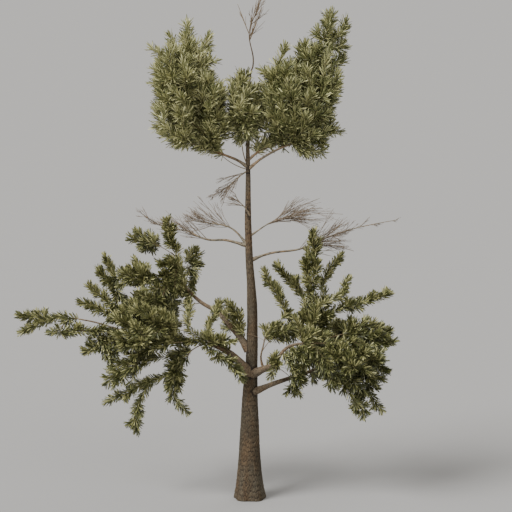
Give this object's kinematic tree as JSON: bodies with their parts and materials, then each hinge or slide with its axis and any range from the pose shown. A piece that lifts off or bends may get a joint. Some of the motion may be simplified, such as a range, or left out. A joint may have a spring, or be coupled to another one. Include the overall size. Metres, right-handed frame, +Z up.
{
  "type": "pine tree",
  "caption": "Tall rooted pine with a bare mid-trunk, spreading lower boughs, dead limbs and a split upper crown of needle foliage.",
  "frame": {"origin": "middle of the trunk's flat cut at ground level", "axes": "+Z up the trunk, -Y towards the side the tree is seen from, -X towards the longer lower boughs"},
  "size_m": [9.4208, 4.75, 12.25],
  "materials": {
    "bark": "rough plated bark",
    "dead_wood": "dry weathered bark",
    "needles_lower": "satin needles",
    "needles_upper": "satin needles"
  },
  "bodies": {
    "root": {"trunk": "bark", "bough_left_high": "bark", "bough_left_low": "bark", "bough_right_low": "bark", "bough_right_main": "bark", "bough_right_rise": "bark", "bough_top_left": "bark", "bough_top_right_high": "bark", "bough_top_right_low": "bark", "stem_left_long": "bark", "stem_right_small": "bark", "dead_limb_left_high": "dead_wood", "dead_limb_left_low": "dead_wood", "dead_limb_left_small": "dead_wood", "dead_limb_left_top": "dead_wood", "dead_limb_right_high": "dead_wood", "dead_limb_right_low": "dead_wood", "foliage_left_arch": "needles_lower", "foliage_left_arch_inner": "needles_lower", "foliage_left_core_back": "needles_lower", "foliage_left_core_front": "needles_lower", "foliage_left_core_upper": "needles_lower", "foliage_left_crest": "needles_lower", "foliage_left_droop": "needles_lower", "foliage_left_drop": "needles_lower", "foliage_left_fan_high": "needles_lower", "foliage_left_fan_low": "needles_lower", "foliage_left_fan_mid": "needles_lower", "foliage_left_inner_low": "needles_lower", "foliage_left_inner_plume": "needles_lower", "foliage_left_long_low": "needles_lower", "foliage_left_long_spray": "needles_lower", "foliage_left_low_spray": "needles_lower", "foliage_left_plume": "needles_lower", "foliage_left_shoulder": "needles_lower", "foliage_left_under": "needles_lower", "foliage_right_core_back": "needles_lower", "foliage_right_core_front": "needles_lower", "foliage_right_core_upper": "needles_lower", "foliage_right_drop": "needles_lower", "foliage_right_fan_high": "needles_lower", "foliage_right_fan_long": "needles_lower", "foliage_right_fan_low": "needles_lower", "foliage_right_fan_outer": "needles_lower", "foliage_right_inner": "needles_lower", "foliage_right_outer": "needles_lower", "foliage_right_plume": "needles_lower", "foliage_right_tips": "needles_lower", "foliage_right_tuft": "needles_lower", "foliage_top_left_back": "needles_upper", "foliage_top_left_crown": "needles_upper", "foliage_top_left_inner": "needles_upper", "foliage_top_left_outer": "needles_upper", "foliage_top_middle_back": "needles_upper", "foliage_top_middle_front": "needles_upper", "foliage_top_right_back": "needles_upper", "foliage_top_right_inner": "needles_upper", "foliage_top_right_outer": "needles_upper", "foliage_top_right_plume": "needles_upper"}
  },
  "joints": []
}
